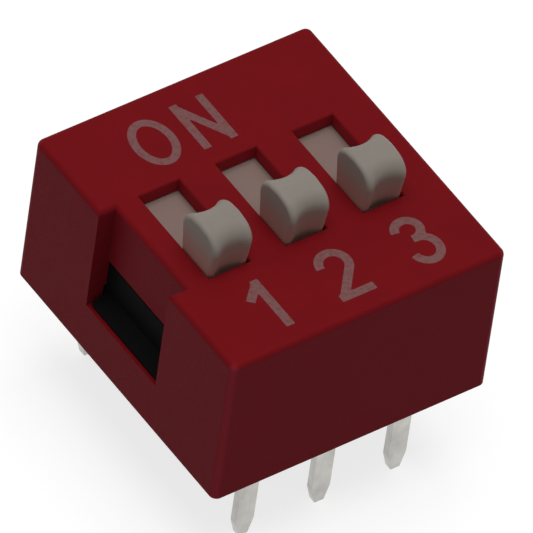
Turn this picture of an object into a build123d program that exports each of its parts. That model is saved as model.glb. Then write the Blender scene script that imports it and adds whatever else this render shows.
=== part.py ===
"""Three-position slide DIP switch, in millimetres.

The origin is the centre of the seating plane on the circuit board. +X runs along the
positions, +Y points to the ON side and +Z points up from the board. The sliders stand
at OFF, the -Y end of their travel.
"""

import os
from math import cos, radians, sin, sqrt

from build123d import *

# Switch pattern
position_count = 3
pitch = 2.54
row_spacing = 7.62

# Cover shell
cover_wall = 0.52
side_wall = 0.80
end_wall = 1.115
top_wall = 0.45
corner_radius = 0.22
rim_radius = 0.18
slot_lip_radius = 0.06
mouth_chamfer = 0.15

# Latch window at each end, and the notch that marks the first position
notch_depth = 0.545
notch_width = 3.40
sill_height = 1.62
window_top = 3.16
lug_inset = 0.10
lug_land = 0.12
lug_ramp = 0.20
lug_side_gap = 0.12
tongue_lead = 0.05

# Base
floor_height = 2.10
leg_cover = 0.345
base_chamfer = 0.12

# Slider and knob
slider_width = 1.64
slider_height = 2.05
slider_edge_radius = 0.08
knob_width = 1.30
knob_length = 1.60
knob_rise = 1.40
knob_flare = 8
knob_shoulder_share = 0.37
knob_crown_share = 0.40
knob_edge_share = 0.0925
groove_share = 0.585
well_width = 1.06
well_length = 3.30
well_depth = 0.60
stud_side = 0.36
stud_length = 0.26

# Contacts and terminals
contact_space = 0.65
contact_width = 0.80
contact_thickness = 0.12
contact_seat_length = 0.72
contact_reach = 1.05
contact_foot_length = 0.36
contact_tail = 0.26
contact_tail_rise = 0.18
contact_bend_radius = 0.14
terminal_thickness = 0.25
pad_width = 1.10
pad_gap = 0.50
pad_end_gap = 0.55
leg_width = 0.60
leg_length = 3.30
leg_bend_radius = 0.30
tip_width = 0.30
tip_length = 0.55

# Fits
running_gap = 0.05
base_gap = 0.05
knob_gap = 0.03
knob_end_gap = 0.05
stop_gap = 0.06
slot_lap = 0.26
stud_gap = 0.02
contact_gap = 0.02
overrun = 0.50

# Outer sizes that follow
channel_width = slider_width + 2 * running_gap
base_width = row_spacing + terminal_thickness + 2 * leg_cover
cover_width = base_width + 2 * (base_gap + cover_wall)
cover_length = (position_count - 1) * pitch + channel_width + 2 * end_wall
base_length = cover_length - 2 * (cover_wall + base_gap)
channel_length = cover_width - 2 * side_wall
slider_bottom = floor_height + contact_space
slider_top = slider_bottom + slider_height
channel_top = slider_top + running_gap
cover_height = channel_top + top_wall

# Knob: hollow front and back faces that lean out from the foot and turn over into a low roof
knob_top = cover_height + knob_rise
flare_cosine = cos(radians(knob_flare))
flare_sine = sin(radians(knob_flare))
flare_slope = flare_sine / flare_cosine
knob_shoulder_radius = knob_shoulder_share * knob_width
knob_edge_radius = knob_edge_share * knob_width
groove_radius = groove_share * knob_width
ridge_place = knob_width / 2 - knob_edge_radius
ridge_reach = sqrt((groove_radius + knob_edge_radius) ** 2 - ridge_place**2) - knob_edge_radius
groove_depth = groove_radius - ridge_reach
knob_waist = knob_length / 2 - groove_depth
roof_length = (knob_waist + knob_shoulder_radius * (flare_cosine + flare_sine - 1)) / flare_cosine
knob_crown_radius = knob_crown_share * (roof_length - knob_shoulder_radius) / flare_slope
knob_corner = roof_length * flare_cosine
corner_height = knob_top - roof_length * flare_sine
knob_foot_length = 2 * (knob_corner + groove_depth - (corner_height - cover_height) * flare_slope)
groove_reach = knob_corner + groove_radius * flare_cosine - (corner_height - slider_top) * flare_slope

# Travel that the channel leaves once the body covers its slot at both ends
travel = (channel_length - knob_foot_length - 2 * (stop_gap + slot_lap + knob_end_gap)) / 3
slot_width = knob_width + 2 * knob_gap
slot_length = knob_foot_length + travel + 2 * knob_end_gap
slider_length = slot_length + travel + 2 * slot_lap
off_place = -travel / 2
on_place = travel / 2

# Places that the cover and the base share
pocket_height = floor_height + base_gap
channel_side = (position_count - 1) * pitch / 2 + channel_width / 2
base_end = base_length / 2
tongue_height = window_top - base_gap
tongue_width = notch_width - 2 * base_gap
lug_end = cover_length / 2 - lug_inset
lug_bottom = sill_height + base_gap
lug_width = notch_width - 2 * lug_side_gap

# Middle lines of the terminal and contact strips
leg_row = row_spacing / 2
pad_height = floor_height - terminal_thickness / 2
well_top = slider_bottom + well_depth
seat_height = well_top - contact_thickness / 2
touch_height = floor_height + contact_gap + contact_thickness / 2
tail_height = touch_height + contact_tail_rise
foot_start = contact_reach - contact_foot_length / 2
foot_end = contact_reach + contact_foot_length / 2

positions = [(index - (position_count - 1) / 2) * pitch for index in range(position_count)]
os.makedirs("parts", exist_ok=True)

# Cover: a moulded shell with a base pocket, slider channels, slots and latch windows
with BuildPart() as cover:
    with BuildSketch():
        RectangleRounded(cover_length, cover_width, corner_radius)
    extrude(amount=cover_height)
    with BuildSketch():
        Rectangle(base_length + 2 * base_gap, base_width + 2 * base_gap)
    extrude(amount=pocket_height, mode=Mode.SUBTRACT)
    mouth = cover.faces().sort_by(Axis.Z)[0].inner_wires()[0]
    chamfer(mouth.edges(), length=mouth_chamfer)
    with BuildSketch(Plane.XY.offset(pocket_height)):
        with GridLocations(pitch, 0, position_count, 1):
            Rectangle(channel_width, channel_length)
    extrude(amount=channel_top - pocket_height, mode=Mode.SUBTRACT)
    with BuildSketch(Plane.XY.offset(channel_top)):
        with GridLocations(pitch, 0, position_count, 1):
            Rectangle(slot_width, slot_length)
    extrude(amount=top_wall, mode=Mode.SUBTRACT)
    with BuildSketch(Plane.XY.offset(sill_height)):
        with GridLocations(channel_side + cover_length / 2, 0, 2, 1):
            Rectangle(cover_length / 2 - channel_side, notch_width)
    extrude(amount=window_top - sill_height, mode=Mode.SUBTRACT)
    with BuildSketch(Plane.XY.offset(window_top)):
        with Locations(((notch_depth - cover_length) / 2, 0)):
            Rectangle(notch_depth, notch_width)
    extrude(amount=cover_height - window_top, mode=Mode.SUBTRACT)
    top_face = cover.faces().sort_by(Axis.Z)[-1]
    fillet(top_face.outer_wire().edges(), radius=rim_radius)
    top_face = cover.faces().sort_by(Axis.Z)[-1]
    slot_lips = [edge for wire in top_face.inner_wires() for edge in wire.edges()]
    fillet(slot_lips, radius=slot_lip_radius)
cover.part.label = "cover"
export_step(cover.part, "parts/cover.step")

# Terminals: a contact pad bent down into a solder pin, the common ones with the longer pad
terminals = []
terminal_rows = {"common": -1, "on": 1}
for row, side in terminal_rows.items():
    pad_start = on_place + side * pad_gap / 2
    pad_stop = side * (leg_row - pad_end_gap)
    for number, place in enumerate(positions, start=1):
        with BuildPart() as terminal:
            with BuildSketch(Plane.YZ.offset(place)):
                with BuildLine():
                    FilletPolyline(
                        (pad_start, pad_height),
                        (side * leg_row, pad_height),
                        (side * leg_row, -leg_length),
                        radius=leg_bend_radius,
                    )
                trace(line_width=terminal_thickness)
            extrude(amount=leg_width / 2, both=True)
            with BuildSketch(Plane.XY.offset(floor_height - terminal_thickness)):
                with Locations((place, (pad_start + pad_stop) / 2)):
                    Rectangle(pad_width, abs(pad_stop - pad_start))
            extrude(amount=terminal_thickness)
            tip = terminal.faces().sort_by(Axis.Z)[0]
            tip_cut = (leg_width - tip_width) / 2
            chamfer(tip.edges().filter_by(Axis.Y), length=tip_cut, length2=tip_length, reference=tip)
        terminal.part.label = f"terminal_{row}_{number}"
        export_step(terminal.part, f"parts/terminal_{row}_{number}.step")
        terminals.append(terminal.part)

# Base: the floor moulded round the terminals, with a latch lug and a tongue at each end
with BuildPart() as base:
    with BuildSketch():
        Rectangle(base_length, base_width)
    extrude(amount=floor_height)
    chamfer(base.edges().group_by(Axis.Z)[0], length=base_chamfer)
    with BuildSketch(Plane.XZ):
        with BuildLine():
            Polyline(
                (base_end - overrun, lug_bottom),
                (lug_end, lug_bottom),
                (lug_end, lug_bottom + lug_land),
                (base_end, lug_bottom + lug_land + lug_ramp),
                (base_end - overrun, lug_bottom + lug_land + lug_ramp),
                close=True,
            )
        make_face()
        mirror(about=Plane.YZ)
    extrude(amount=lug_width / 2, both=True)
    with BuildSketch(Plane.XY.offset(floor_height)):
        with GridLocations(base_end + channel_side, 0, 2, 1):
            Rectangle(base_end - channel_side, tongue_width)
    extrude(amount=tongue_height - floor_height)
    crown = base.edges().group_by(Axis.Z)[-1].filter_by(Axis.Y).sort_by(Axis.X)
    chamfer([crown[0], crown[-1]], length=tongue_lead)
    add(terminals, mode=Mode.SUBTRACT)
base.part.label = "base"
export_step(base.part, "parts/base.step")

# Sliders: a hollow-faced knob on a body that closes the slot and carries the contact in a well
for number, place in enumerate(positions, start=1):
    seat = Plane((place, off_place, slider_bottom))
    corner = (place, off_place - knob_corner, corner_height)
    face = Plane(corner, x_dir=(0, flare_cosine, flare_sine), z_dir=(1, 0, 0))
    with BuildPart() as slider:
        with BuildSketch(face):
            with BuildLine():
                FilletPolyline((0, -knob_top), (0, 0), (knob_length, 0), radius=knob_shoulder_radius)
                Polyline((knob_length, 0), (knob_length, -knob_top), (0, -knob_top))
            make_face()
        revolve(axis=Axis(face.from_local_coords((-groove_radius, 0, 0)), face.y_dir))
        with BuildSketch(seat.offset(slider_height)):
            Rectangle(knob_width, groove_reach, align=(Align.CENTER, Align.MAX))
        extrude(amount=knob_top, mode=Mode.INTERSECT)
        mirror(about=Plane((place, off_place, 0), z_dir=(0, 1, 0)))
        fillet(slider.edges().sort_by(Axis.Z)[-1], radius=knob_crown_radius)
        flanks = slider.faces().filter_by(Axis.X).edges()
        fillet(flanks - flanks.group_by(Axis.Z)[0], radius=knob_edge_radius)
        with BuildSketch(seat):
            RectangleRounded(slider_width, slider_length, slider_edge_radius)
        extrude(amount=slider_height)
        with BuildSketch(seat):
            Rectangle(well_width, well_length)
        extrude(amount=well_depth, mode=Mode.SUBTRACT)
        with BuildSketch(seat.offset(well_depth - stud_length)):
            Rectangle(stud_side, stud_side)
        extrude(amount=stud_length)
    slider.part.label = f"slider_{number}"
    export_step(slider.part, f"parts/slider_{number}.step")

# Bridge contacts: a sprung strip staked under each slider, touching its pads at two bends
for number, place in enumerate(positions, start=1):
    with BuildPart() as contact:
        with BuildSketch(Plane((place, off_place, 0), x_dir=(0, 1, 0), z_dir=(1, 0, 0))):
            with BuildLine():
                FilletPolyline(
                    (-foot_end - contact_tail, tail_height),
                    (-foot_end, touch_height),
                    (-foot_start, touch_height),
                    (-contact_seat_length / 2, seat_height),
                    (contact_seat_length / 2, seat_height),
                    (foot_start, touch_height),
                    (foot_end, touch_height),
                    (foot_end + contact_tail, tail_height),
                    radius=contact_bend_radius,
                )
            trace(line_width=contact_thickness)
        extrude(amount=contact_width / 2, both=True)
        with BuildSketch(Plane((place, off_place, well_top))):
            Rectangle(stud_side + 2 * stud_gap, stud_side + 2 * stud_gap)
        extrude(amount=-contact_thickness - overrun, mode=Mode.SUBTRACT)
    contact.part.label = f"bridge_contact_{number}"
    export_step(contact.part, f"parts/bridge_contact_{number}.step")

print(f"cover {cover_length:.3f} x {cover_width:.3f} x {cover_height:.3f}, travel {travel:.3f}")
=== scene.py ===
"""Dresses a three-position slide DIP switch.

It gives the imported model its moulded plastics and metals, prints the legend and sets a studio stage.
"""

from math import cos, pi, radians, sin

import bmesh
import bpy
from bpy.props import FloatProperty, FloatVectorProperty, PointerProperty
from mathutils import Color, Matrix, Vector


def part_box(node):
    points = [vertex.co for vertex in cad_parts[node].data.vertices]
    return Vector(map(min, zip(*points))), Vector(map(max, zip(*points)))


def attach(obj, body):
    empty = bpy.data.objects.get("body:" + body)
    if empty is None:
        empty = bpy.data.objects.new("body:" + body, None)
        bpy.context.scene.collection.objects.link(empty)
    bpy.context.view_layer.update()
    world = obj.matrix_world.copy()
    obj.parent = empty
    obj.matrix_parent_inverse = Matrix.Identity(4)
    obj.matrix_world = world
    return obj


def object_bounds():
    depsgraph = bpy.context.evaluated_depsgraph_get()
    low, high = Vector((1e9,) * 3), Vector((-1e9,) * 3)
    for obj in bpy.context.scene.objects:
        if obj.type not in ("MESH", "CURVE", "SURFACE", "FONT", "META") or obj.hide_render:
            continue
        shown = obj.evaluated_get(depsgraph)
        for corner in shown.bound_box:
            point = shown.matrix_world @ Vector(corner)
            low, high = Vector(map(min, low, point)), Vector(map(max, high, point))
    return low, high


bl_info = {
    "name": "Slide DIP Switch",
    "version": (1, 0, 0),
    "blender": (4, 5, 0),
    "location": "View3D > Sidebar > DIP Switch",
    "description": "Finishes a three-position slide DIP switch and sets its stage",
    "category": "Object",
}

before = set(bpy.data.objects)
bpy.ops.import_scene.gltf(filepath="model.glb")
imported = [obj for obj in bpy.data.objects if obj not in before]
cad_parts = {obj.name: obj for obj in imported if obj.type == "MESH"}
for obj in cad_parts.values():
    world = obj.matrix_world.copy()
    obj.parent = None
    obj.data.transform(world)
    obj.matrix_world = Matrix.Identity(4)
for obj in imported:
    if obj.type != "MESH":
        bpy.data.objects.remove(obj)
cad_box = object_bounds()

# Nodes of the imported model, by what they are made of
COVER_NODES = ["cover"]
BASE_NODES = ["base"]
SLIDER_NODES = sorted(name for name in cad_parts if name.startswith("slider"))
CONTACT_NODES = sorted(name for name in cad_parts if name.startswith("bridge_contact"))
TERMINAL_NODES = sorted(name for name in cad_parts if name.startswith("terminal"))

# Noise scales, in cells per metre, and the span that most of a noise's values lie in
CLOUD_SCALE = 700
PLATING_SCALE = 1500
FIBRE_SCALE = 3000
ROLLING_SCALE = 9000
INK_SCALE = 9000
NOISE_SPAN = (0.3, 0.7)
FULL_SPAN = (0, 1)

# Depths of the moulded grain and of the rolling lines, in metres
GRAIN_DEPTH = 0.00001
ROLLING_DEPTH = 0.000005
ROLLING_STRENGTH = 0.2
ROLLING_STRETCH = 0.08

# Shares of a second shade: in the grain's pits, on clouded plating, in thin ink and on paper fibres
PIT_SHARE = 0.35
PLATING_SHADE = 0.88
THIN_SPAN = (0.45, 0.75)
THIN_SHARE = 0.45
FIBRE_SHADE = 0.99

# The cover's painted wall colour (a painted sheen outside, painted bounce light in the slots), by how far a
# face looks up, and its painted corner highlight, by how far a face looks two ways
WALL_SPAN = (0.2, 0.8)
WALL_SHARE = 0.5
CORNER_SPAN = (0, 0.5)

# Strength at which a background is seen as white
WHITE_STRENGTH = 1

# The legend is modelled in millimetres and scaled down, because a remesh needs coarser units than metres
MILLIMETRE = 0.001
ARC_STEPS = 40
TUBE_STEPS = 6


def colour_property(name, description, default):
    """A colour as it shows on a screen."""
    return FloatVectorProperty(
        name=name, description=description, default=default, subtype="COLOR_GAMMA", min=0, max=1
    )


def length_property(name, description, default):
    """A length in metres."""
    return FloatProperty(name=name, description=description, default=default, unit="LENGTH", precision=5)


def angle_property(name, description, degrees):
    """An angle, given in degrees."""
    return FloatProperty(name=name, description=description, default=radians(degrees), subtype="ANGLE")


def number_property(name, description, default, unit="NONE"):
    """A plain number, or one in another unit."""
    return FloatProperty(name=name, description=description, default=default, unit=unit)


class DipSwitchFinishes(bpy.types.PropertyGroup):
    """Colours of the plastics, metals and ink, and of the light and shade painted on the plastics."""

    cover_red: colour_property("Cover Red", "Red of the moulded cover", (0.457, 0.068, 0.092))
    # Painted sheen: the cover's walls turn paler, as if they reflected the white room
    wall_sheen_red: colour_property("Wall Red", "Red that the cover's walls turn to", (0.450, 0.112, 0.150))
    # Painted highlight along the cover's upright corners
    corner_highlight_red: colour_property("Corner Red", "Red of the painted highlight on the cover's corners", (0.540, 0.160, 0.195))
    # Painted bounce light: the walls inside the slots are brighter red
    slot_bounce_red: colour_property("Slot Red", "Red of the walls inside the slots", (0.660, 0.160, 0.200))
    slot_fade: length_property("Slot Fade", "How far round the slots their red fades", 0.00020)
    slider_white: colour_property("Slider White", "Off-white of the sliders", (0.566, 0.536, 0.503))
    base_black: colour_property("Base Black", "Black of the moulded base", (0.064, 0.064, 0.066))
    # Painted red bounce light from the cover, low on the knobs
    foot_bounce_red: colour_property("Foot Rose", "Painted red bounce light low on the knobs", (0.680, 0.490, 0.455))
    # Painted shade and red bounce light on the sliders where they lie in the slots
    slot_shade_and_bounce: colour_property("Slot Rose", "Painted shade and red bounce light on the sliders in the slots", (0.540, 0.458, 0.430))
    # Height over which the painted bounce light on the knobs fades
    bounce_height: length_property("Bloom Height", "How far up the knobs the painted bounce light fades", 0.00100)
    slot_depth: length_property("Slot Depth", "How deep the sliders lie in the slots", 0.00050)
    pin_tin: colour_property("Pin Tin", "Tin plating of the terminals", (0.80, 0.79, 0.77))
    contact_bronze: colour_property("Contact Bronze", "Bronze of the contacts", (0.80, 0.62, 0.36))
    legend_ink: colour_property("Legend Ink", "Ink of the printed legend", (0.482, 0.340, 0.338))


class DipSwitchLegend(bpy.types.PropertyGroup):
    """Sizes of the printed legend on the cover's top."""

    cap_height: length_property("Cap Height", "Height of the word over its ink", 0.00179)
    stroke_width: length_property("Stroke Width", "Width of the word's strokes", 0.00025)
    digit_height: length_property("Digit Height", "Height of the digits over their ink", 0.00186)
    digit_stroke: length_property("Digit Stroke", "Width of the digits' strokes", 0.00027)
    ink_height: length_property("Ink Height", "How far the ink stands above the cover", 0.00001)
    word_place: length_property("Word Place", "Middle of the word along Y", 0.00318)
    digit_place: length_property("Digit Place", "Middle of the digits along Y", -0.00331)
    digit_offset: length_property("Digit Offset", "How far right of its slider a digit is", 0.00007)
    remesh_size: length_property("Remesh Size", "Size of the cells that join the strokes", 0.000025)


class DipSwitchStage(bpy.types.PropertyGroup):
    """Camera, floor and light."""

    camera_azimuth: angle_property("Azimuth", "Camera's turn about Z", -40.415)
    camera_elevation: angle_property("Elevation", "Camera's height angle", 46.741)
    camera_roll: angle_property("Roll", "Camera's turn about its own axis", 8.62)
    camera_distance: length_property("Distance", "From the camera to its target", 0.54361)
    camera_target: FloatVectorProperty(
        name="Target",
        description="Point at the middle of the picture",
        default=(0.000069, -0.000173, 0.002568),
        subtype="TRANSLATION",
        unit="LENGTH",
        precision=6,
    )
    camera_lens: number_property("Lens", "Focal length in millimetres", 1343.9, "CAMERA")
    camera_sensor: number_property("Sensor", "Sensor width in millimetres", 36, "CAMERA")
    floor_size: length_property("Floor Size", "Side of the floor", 0.80)
    floor_colour: colour_property("Floor Colour", "Colour of the floor", (0.620, 0.620, 0.620))
    floor_glow: number_property("Floor Glow", "White added to the floor's own picture", 0.76)
    world_fill: number_property("World Fill", "Strength of the even light", 0.33)
    key_power: number_property("Key Power", "Power of the overhead lamp", 3.98, "POWER")
    key_size: length_property("Key Size", "Side of the overhead lamp", 0.60)
    key_height: length_property("Key Height", "Height of the overhead lamp", 0.80)


# Materials


def linear(colour):
    """A screen colour as the four numbers that a shader takes."""
    return (*Color(colour).from_srgb_to_scene_linear(), 1)


def shade(colour, factor):
    """The same colour, lighter or darker."""
    return tuple(min(1, part * factor) for part in colour)


def add_node(tree, kind, inputs=None, **settings):
    """Adds a node, and sets or links its inputs."""
    node = tree.nodes.new(kind)
    for name, value in settings.items():
        setattr(node, name, value)
    for name, value in (inputs or {}).items():
        if isinstance(value, bpy.types.NodeSocket):
            tree.links.new(value, node.inputs[name])
        else:
            node.inputs[name].default_value = value
    return node


def start_material(name):
    """A material with its tree, its shader and its Object coordinates."""
    material = bpy.data.materials.new(name)
    material.use_nodes = True
    tree = material.node_tree
    shader = tree.nodes["Principled BSDF"]
    place = add_node(tree, "ShaderNodeTexCoord").outputs["Object"]
    return material, tree, shader, place


def add_noise(tree, place, scale, detail, stretch=(1, 1, 1)):
    """Noise on a stretched copy of the coordinates."""
    mapping = add_node(tree, "ShaderNodeMapping", {"Vector": place, "Scale": stretch})
    inputs = {"Vector": mapping.outputs["Vector"], "Scale": scale, "Detail": detail}
    return add_node(tree, "ShaderNodeTexNoise", inputs).outputs["Fac"]


def add_range(tree, value, source, target):
    """Maps a value from one range to another, held at its ends."""
    names = ("From Min", "From Max", "To Min", "To Max")
    inputs = dict(zip(names, (*source, *target)))
    return add_node(tree, "ShaderNodeMapRange", {"Value": value, **inputs}).outputs["Result"]


def add_math(tree, operation, *values):
    """Works out one value from one or two others."""
    return add_node(tree, "ShaderNodeMath", dict(enumerate(values)), operation=operation).outputs["Value"]


def add_parts(tree, vector):
    """The X, Y and Z of a vector."""
    return add_node(tree, "ShaderNodeSeparateXYZ", {"Vector": vector}).outputs


def add_mix(tree, factor, first, second):
    """Mixes two colours."""
    inputs = {"Factor": factor, "A": first, "B": second}
    return add_node(tree, "ShaderNodeMix", inputs, data_type="RGBA").outputs["Result"]


def add_tint(tree, shader, factor, colour):
    """Mixes a colour over the one that the shader already has."""
    own = shader.inputs["Base Color"].links[0].from_socket
    tree.links.new(add_mix(tree, factor, own, colour), shader.inputs["Base Color"])


def link_bump(tree, shader, height, strength, distance):
    """Gives the shader a bump from a height."""
    inputs = {"Height": height, "Strength": strength, "Distance": distance}
    bump = add_node(tree, "ShaderNodeBump", inputs)
    tree.links.new(bump.outputs["Normal"], shader.inputs["Normal"])


def moulded_plastic(name, colour, mottle, roughness, grain_scale, grain_strength, specular):
    """Plastic with a cloudy colour and the fine grain of a spark-eroded mould."""
    material, tree, shader, place = start_material(name)
    clouds = add_noise(tree, place, CLOUD_SCALE, detail=4)
    grain = add_noise(tree, place, grain_scale, detail=3)
    cloud_factor = add_range(tree, clouds, NOISE_SPAN, FULL_SPAN)
    grain_factor = add_range(tree, grain, NOISE_SPAN, FULL_SPAN)
    dull = linear(shade(colour, 1 - mottle))
    clear = linear(shade(colour, 1 + mottle))
    pitted = linear(shade(colour, 1 - 2 * mottle))
    cloudy = add_mix(tree, cloud_factor, dull, clear)
    in_pit = add_range(tree, grain_factor, FULL_SPAN, (PIT_SHARE, 0))
    tree.links.new(add_mix(tree, in_pit, cloudy, pitted), shader.inputs["Base Color"])
    tree.links.new(add_range(tree, grain_factor, FULL_SPAN, roughness), shader.inputs["Roughness"])
    link_bump(tree, shader, grain, grain_strength, GRAIN_DEPTH)
    shader.inputs["Specular IOR Level"].default_value = specular
    return material, tree, shader


# Mask for the painted bounce light on the walls inside the slots
def near_slots(tree, place, fade):
    """One where the slots are, within the sliders' reach along X and Y, and nought past the fade."""
    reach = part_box(SLIDER_NODES[-1])[1]
    shares = []
    for axis, end in (("X", reach.x), ("Y", reach.y)):
        away = add_math(tree, "ABSOLUTE", place[axis])
        shares.append(add_range(tree, away, (end, end + fade), (1, 0)))
    return add_math(tree, "MULTIPLY", *shares)


def cover_plastic(finishes):
    """Satin red plastic of the cover, with a painted sheen that makes its walls paler, painted bounce light
    that makes the walls in its slots brighter, and a painted highlight on its corners.
    """
    material, tree, shader = moulded_plastic(
        "cover_red_plastic",
        finishes.cover_red,
        mottle=0.03,
        roughness=(0.45, 0.6),
        grain_scale=22000,
        grain_strength=0.35,
        specular=0.028,
    )
    coordinates = add_node(tree, "ShaderNodeTexCoord").outputs
    facing = add_parts(tree, coordinates["Normal"])
    # Painted light: a sheen on the outer walls and bounce light on the walls inside the slots
    in_slot = near_slots(tree, add_parts(tree, coordinates["Object"]), finishes.slot_fade)
    wall = add_mix(tree, in_slot, linear(finishes.wall_sheen_red), linear(finishes.slot_bounce_red))
    on_wall = add_range(tree, facing["Z"], WALL_SPAN, (WALL_SHARE, 0))
    add_tint(tree, shader, on_wall, wall)
    # Painted highlight on the upright corners, where a face looks two ways
    turn = add_math(tree, "ABSOLUTE", add_math(tree, "MULTIPLY", facing["X"], facing["Y"]))
    on_corner = add_range(tree, turn, CORNER_SPAN, FULL_SPAN)
    add_tint(tree, shader, on_corner, linear(finishes.corner_highlight_red))
    return material


def slider_plastic(finishes):
    """Slightly translucent off-white plastic of the sliders, with painted red bounce light from the cover low
    on the knobs and painted shade with red bounce light where they lie in the slots.
    """
    material, tree, shader = moulded_plastic(
        "slider_white_plastic",
        finishes.slider_white,
        mottle=0.015,
        roughness=(0.4, 0.5),
        grain_scale=26000,
        grain_strength=0.12,
        specular=0.06,
    )
    cover_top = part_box("cover")[1].z
    height = add_parts(tree, add_node(tree, "ShaderNodeTexCoord").outputs["Object"])["Z"]
    # Painted red bounce light low on the knobs, fading upwards
    on_foot = add_range(tree, height, (cover_top, cover_top + finishes.bounce_height), (1, 0))
    # Painted shade and red bounce light on the sliders below the cover's top
    in_slot = add_range(tree, height, (cover_top - finishes.slot_depth, cover_top), (1, 0))
    add_tint(tree, shader, on_foot, linear(finishes.foot_bounce_red))
    add_tint(tree, shader, in_slot, linear(finishes.slot_shade_and_bounce))
    shader.inputs["Subsurface Weight"].default_value = 0.25
    shader.inputs["Subsurface Radius"].default_value = (1.0, 0.8, 0.6)
    shader.inputs["Subsurface Scale"].default_value = 0.00015
    return material


def base_plastic(finishes):
    """Filled black plastic of the base."""
    material, _, _ = moulded_plastic(
        "base_black_plastic",
        finishes.base_black,
        mottle=0.05,
        roughness=(0.4, 0.55),
        grain_scale=20000,
        grain_strength=0.3,
        specular=0.01,
    )
    return material


def rolled_metal(name, colour, roughness, stretch):
    """Strip metal with fine rolling lines and a cloudy plating."""
    material, tree, shader, place = start_material(name)
    lines = add_noise(tree, place, ROLLING_SCALE, detail=3, stretch=stretch)
    clouds = add_noise(tree, place, PLATING_SCALE, detail=3)
    cloud_factor = add_range(tree, clouds, NOISE_SPAN, FULL_SPAN)
    dull = linear(shade(colour, PLATING_SHADE))
    tree.links.new(add_mix(tree, cloud_factor, dull, linear(colour)), shader.inputs["Base Color"])
    tree.links.new(add_range(tree, lines, NOISE_SPAN, roughness), shader.inputs["Roughness"])
    link_bump(tree, shader, lines, ROLLING_STRENGTH, ROLLING_DEPTH)
    shader.inputs["Metallic"].default_value = 1
    return material


def printed_ink(finishes):
    """Pale ink, thin enough in places for the red to show through."""
    material, tree, shader, place = start_material("legend_ink")
    layer = add_noise(tree, place, INK_SCALE, detail=3)
    thin = add_range(tree, layer, THIN_SPAN, (0, THIN_SHARE))
    colour = add_mix(tree, thin, linear(finishes.legend_ink), linear(finishes.cover_red))
    tree.links.new(colour, shader.inputs["Base Color"])
    tree.links.new(add_range(tree, layer, NOISE_SPAN, (0.5, 0.65)), shader.inputs["Roughness"])
    shader.inputs["Specular IOR Level"].default_value = 0.02
    return material


def floor_paper(stage):
    """Paper that reads as white to the eye and keeps the object's shadow."""
    material, tree, shader, place = start_material("floor_paper")
    tree.nodes.remove(shader)
    fibres = add_noise(tree, place, FIBRE_SCALE, detail=4)
    tone = add_mix(tree, fibres, linear(shade(stage.floor_colour, FIBRE_SHADE)), linear(stage.floor_colour))
    matte = add_node(tree, "ShaderNodeBsdfDiffuse", {"Color": tone})
    glow = add_node(tree, "ShaderNodeEmission", {"Strength": seen_strength(tree, stage.floor_glow, 0)})
    both = add_node(tree, "ShaderNodeAddShader")
    tree.links.new(matte.outputs["BSDF"], both.inputs[0])
    tree.links.new(glow.outputs["Emission"], both.inputs[1])
    tree.links.new(both.outputs["Shader"], tree.nodes["Material Output"].inputs["Surface"])
    return material


def seen_strength(tree, seen, unseen):
    """One strength for rays that show the background, also in a mirror or glass, and one for the rest."""
    path = add_node(tree, "ShaderNodeLightPath").outputs
    mirrored = add_math(tree, "MAXIMUM", path["Is Camera Ray"], path["Is Glossy Ray"])
    shown = add_math(tree, "MAXIMUM", mirrored, path["Is Transmission Ray"])
    return add_range(tree, shown, FULL_SPAN, (unseen, seen))


def dress(names, material):
    """Gives CAD nodes a material."""
    for name in names:
        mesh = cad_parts[name].data
        mesh.materials.clear()
        mesh.materials.append(material)


# Legend


def arc(centre, radii, start, end):
    """Points of an elliptical arc in shares of a character's box, between two angles in degrees."""
    angles = [radians(start + (end - start) * step / ARC_STEPS) for step in range(ARC_STEPS + 1)]
    return [(centre[0] + radii[0] * cos(angle), centre[1] + radii[1] * sin(angle)) for angle in angles]


# Middle lines of the strokes, in shares of each character's box
CHARACTER_STROKE_SHARES = {
    "O": [arc((0.5, 0.5), (0.5, 0.5), 90, 450)],
    "N": [[(0, 0), (0, 1)], [(0, 1), (1, 0)], [(1, 0), (1, 1)]],
    "1": [[(1, 0), (1, 1)], [(1, 1), (0, 0.68)]],
    "2": [arc((0.5, 0.73), (0.5, 0.27), 180, -40) + [(0, 0)], [(0, 0), (1, 0)]],
    "3": [arc((0.44, 0.78), (0.44, 0.22), 175, -100), arc((0.51, 0.28), (0.49, 0.28), 100, -170)],
}

# Widths of those boxes, and the places of the word's letters along X, in millimetres
CHARACTER_WIDTHS = {"O": 1.08, "N": 0.87, "1": 0.51, "2": 0.85, "3": 0.84}
WORD_CENTRES = {"O": -1.72, "N": -0.09}


def stroke_points(strokes, centre, size):
    """The strokes' points in millimetres, in a box of that size round a centre."""
    low = centre - size / 2
    return [[low + Vector((x * size.x, y * size.y)) for x, y in stroke] for stroke in strokes]


def squared_run(points, radius):
    """The points of a stroke. An upright stem or a level foot reaches half its width past both ends."""
    way = (points[-1] - points[0]).normalized()
    if len(points) > 2 or min(abs(way.x), abs(way.y)) > 0:
        return points
    return [points[0] - way * radius, points[1] + way * radius]


def stroke_mesh(name, strokes, radius):
    """A mesh of round tubes along the strokes."""
    curve = bpy.data.curves.new(name, "CURVE")
    curve.dimensions = "3D"
    curve.bevel_depth = radius
    curve.bevel_resolution = TUBE_STEPS
    curve.use_fill_caps = True
    for stroke in strokes:
        run = squared_run(stroke, radius)
        spline = curve.splines.new("POLY")
        spline.points.add(len(run) - 1)
        for point, place in zip(spline.points, run):
            point.co = (place.x, place.y, 0, 1)
    drawn = bpy.data.objects.new(name, curve)
    bpy.context.collection.objects.link(drawn)
    return evaluated_mesh(drawn)


def evaluated_mesh(source):
    """The mesh that an object's curve or modifiers give. The object is removed."""
    graph = bpy.context.evaluated_depsgraph_get()
    mesh = bpy.data.meshes.new_from_object(source.evaluated_get(graph))
    bpy.data.objects.remove(source)
    return mesh


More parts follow.
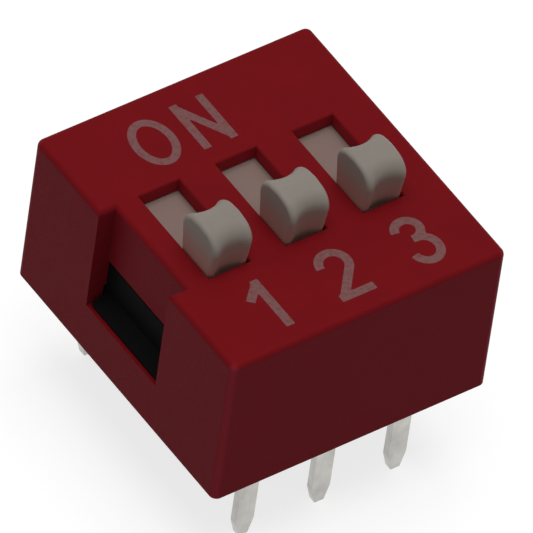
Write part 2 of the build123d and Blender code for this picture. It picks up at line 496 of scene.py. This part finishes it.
def joined_mesh(name, mesh, cell):
    """One closed skin round overlapping tubes."""
    tubes = bpy.data.objects.new(name, mesh)
    bpy.context.collection.objects.link(tubes)
    skin = tubes.modifiers.new("skin", "REMESH")
    skin.mode = "VOXEL"
    skin.voxel_size = cell
    return evaluated_mesh(tubes)


def print_character(character, centre, height, stroke_width, legend, ink):
    """Makes one printed character: a low ridge of ink that lies on the cover's top."""
    name = f"legend_{character}"
    radius = stroke_width / 2 / MILLIMETRE
    size = Vector((CHARACTER_WIDTHS[character], height / MILLIMETRE - 2 * radius))
    strokes = stroke_points(CHARACTER_STROKE_SHARES[character], centre / MILLIMETRE, size)
    tubes = stroke_mesh(name, strokes, radius)
    mesh = joined_mesh(name, tubes, legend.remesh_size / MILLIMETRE)
    ridge = bmesh.new()
    ridge.from_mesh(mesh)
    cut = bmesh.ops.bisect_plane(
        ridge,
        geom=ridge.verts[:] + ridge.edges[:] + ridge.faces[:],
        plane_co=(0, 0, 0),
        plane_no=(0, 0, 1),
        clear_inner=True,
    )
    rim = [part for part in cut["geom_cut"] if isinstance(part, bmesh.types.BMEdge)]
    bmesh.ops.triangle_fill(ridge, edges=rim, use_beauty=True, normal=(0, 0, -1))
    flatten = Matrix.Diagonal((MILLIMETRE, MILLIMETRE, legend.ink_height / radius, 1))
    place = Matrix.Translation((0, 0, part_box("cover")[1].z))
    bmesh.ops.transform(ridge, matrix=place @ flatten, verts=ridge.verts)
    bmesh.ops.recalc_face_normals(ridge, faces=ridge.faces)
    for face in ridge.faces:
        face.smooth = True
    ridge.to_mesh(mesh)
    ridge.free()
    mesh.materials.clear()
    mesh.materials.append(ink)
    printed = bpy.data.objects.new(name, mesh)
    bpy.context.collection.objects.link(printed)
    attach(printed, "housing")


# Stage


def lay_floor(stage):
    """Lays a floor under the pin tips."""
    mesh = bpy.data.meshes.new("floor")
    sheet = bmesh.new()
    bmesh.ops.create_grid(sheet, x_segments=1, y_segments=1, size=stage.floor_size / 2)
    bmesh.ops.translate(sheet, verts=sheet.verts, vec=(0, 0, cad_box[0].z))
    sheet.to_mesh(mesh)
    sheet.free()
    mesh.materials.append(floor_paper(stage))
    floor = bpy.data.objects.new("floor", mesh)
    bpy.context.collection.objects.link(floor)


def light_world(stage):
    """Fills the room with even light, seen as white."""
    world = bpy.data.worlds.new("studio")
    world.use_nodes = True
    bpy.context.scene.world = world
    tree = world.node_tree
    strength = seen_strength(tree, WHITE_STRENGTH, stage.world_fill)
    background = tree.nodes["Background"]
    background.inputs["Color"].default_value = (1, 1, 1, 1)
    tree.links.new(strength, background.inputs["Strength"])


def hang_lamp(stage):
    """Hangs one broad soft lamp over the object."""
    lamp = bpy.data.lights.new("key", "AREA")
    lamp.size = stage.key_size
    lamp.energy = stage.key_power
    key = bpy.data.objects.new("key", lamp)
    key.location = (0, 0, stage.key_height)
    bpy.context.collection.objects.link(key)


def aim_camera(stage):
    """Sets the camera round its target."""
    camera_data = bpy.data.cameras.new("camera")
    camera_data.lens = stage.camera_lens
    camera_data.sensor_width = stage.camera_sensor
    camera = bpy.data.objects.new("camera", camera_data)
    swing = Matrix.Rotation(stage.camera_azimuth, 4, "Z")
    tilt = Matrix.Rotation(pi / 2 - stage.camera_elevation, 4, "X")
    roll = Matrix.Rotation(stage.camera_roll, 4, "Z")
    turn = swing @ tilt @ roll
    back = turn @ Vector((0, 0, stage.camera_distance))
    camera.matrix_world = Matrix.Translation(Vector(stage.camera_target) + back) @ turn
    bpy.context.collection.objects.link(camera)
    bpy.context.scene.camera = camera


# Operators


class DIPSWITCH_OT_finish_cover(bpy.types.Operator):
    """Give the cover its red plastic"""

    bl_idname = "dip_switch.finish_cover"
    bl_label = "Finish Cover"

    def execute(self, context):
        dress(COVER_NODES, cover_plastic(context.scene.dip_switch_finishes))
        return {"FINISHED"}


class DIPSWITCH_OT_finish_base(bpy.types.Operator):
    """Give the base its black plastic"""

    bl_idname = "dip_switch.finish_base"
    bl_label = "Finish Base"

    def execute(self, context):
        dress(BASE_NODES, base_plastic(context.scene.dip_switch_finishes))
        return {"FINISHED"}


class DIPSWITCH_OT_finish_sliders(bpy.types.Operator):
    """Give the sliders their off-white plastic"""

    bl_idname = "dip_switch.finish_sliders"
    bl_label = "Finish Sliders"

    def execute(self, context):
        dress(SLIDER_NODES, slider_plastic(context.scene.dip_switch_finishes))
        return {"FINISHED"}


class DIPSWITCH_OT_finish_metal(bpy.types.Operator):
    """Plate the terminals and give the bridge contacts their bronze"""

    bl_idname = "dip_switch.finish_metal"
    bl_label = "Finish Metal"

    def execute(self, context):
        finishes = context.scene.dip_switch_finishes
        tin = rolled_metal("terminal_tin", finishes.pin_tin, (0.25, 0.4), (1, 1, ROLLING_STRETCH))
        bronze = rolled_metal("contact_bronze", finishes.contact_bronze, (0.2, 0.35), (1, ROLLING_STRETCH, 1))
        dress(TERMINAL_NODES, tin)
        dress(CONTACT_NODES, bronze)
        return {"FINISHED"}


class DIPSWITCH_OT_print_legend(bpy.types.Operator):
    """Print the word at the ON side and a digit below each slider"""

    bl_idname = "dip_switch.print_legend"
    bl_label = "Print Legend"

    def execute(self, context):
        legend = context.scene.dip_switch_legend
        ink = printed_ink(context.scene.dip_switch_finishes)
        for letter, place in WORD_CENTRES.items():
            centre = Vector((place * MILLIMETRE, legend.word_place))
            print_character(letter, centre, legend.cap_height, legend.stroke_width, legend, ink)
        for number, node in enumerate(SLIDER_NODES, start=1):
            low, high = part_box(node)
            centre = Vector(((low.x + high.x) / 2 + legend.digit_offset, legend.digit_place))
            print_character(str(number), centre, legend.digit_height, legend.digit_stroke, legend, ink)
        return {"FINISHED"}


class DIPSWITCH_OT_set_stage(bpy.types.Operator):
    """Set the floor, the light and the camera"""

    bl_idname = "dip_switch.set_stage"
    bl_label = "Set Stage"

    def execute(self, context):
        stage = context.scene.dip_switch_stage
        lay_floor(stage)
        light_world(stage)
        hang_lamp(stage)
        aim_camera(stage)
        context.scene.view_settings.view_transform = "Standard"
        return {"FINISHED"}


class DIPSWITCH_PT_sidebar(bpy.types.Panel):
    """Lists the settings and the steps that dress the switch"""

    bl_idname = "DIPSWITCH_PT_sidebar"
    bl_label = "DIP Switch"
    bl_space_type = "VIEW_3D"
    bl_region_type = "UI"
    bl_category = "DIP Switch"

    def draw(self, context):
        for name, kind in SETTINGS.items():
            group = self.layout.box()
            for setting in kind.__annotations__:
                group.prop(getattr(context.scene, name), setting)
        for operator in OPERATORS:
            self.layout.operator(operator.bl_idname)


OPERATORS = (
    DIPSWITCH_OT_finish_cover,
    DIPSWITCH_OT_finish_base,
    DIPSWITCH_OT_finish_sliders,
    DIPSWITCH_OT_finish_metal,
    DIPSWITCH_OT_print_legend,
    DIPSWITCH_OT_set_stage,
)
SETTINGS = {
    "dip_switch_finishes": DipSwitchFinishes,
    "dip_switch_legend": DipSwitchLegend,
    "dip_switch_stage": DipSwitchStage,
}
CLASSES = (*SETTINGS.values(), *OPERATORS, DIPSWITCH_PT_sidebar)


def register():
    """Registers the classes and gives the scene their settings."""
    for kind in CLASSES:
        bpy.utils.register_class(kind)
    for name, kind in SETTINGS.items():
        setattr(bpy.types.Scene, name, PointerProperty(type=kind))


def unregister():
    """Takes the settings and the classes away again."""
    for name in SETTINGS:
        delattr(bpy.types.Scene, name)
    for kind in reversed(CLASSES):
        bpy.utils.unregister_class(kind)


def main():
    """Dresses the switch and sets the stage."""
    register()
    bpy.ops.dip_switch.finish_cover()
    bpy.ops.dip_switch.finish_base()
    bpy.ops.dip_switch.finish_sliders()
    bpy.ops.dip_switch.finish_metal()
    bpy.ops.dip_switch.print_legend()
    bpy.ops.dip_switch.set_stage()


if __name__ == "__main__":
    main()
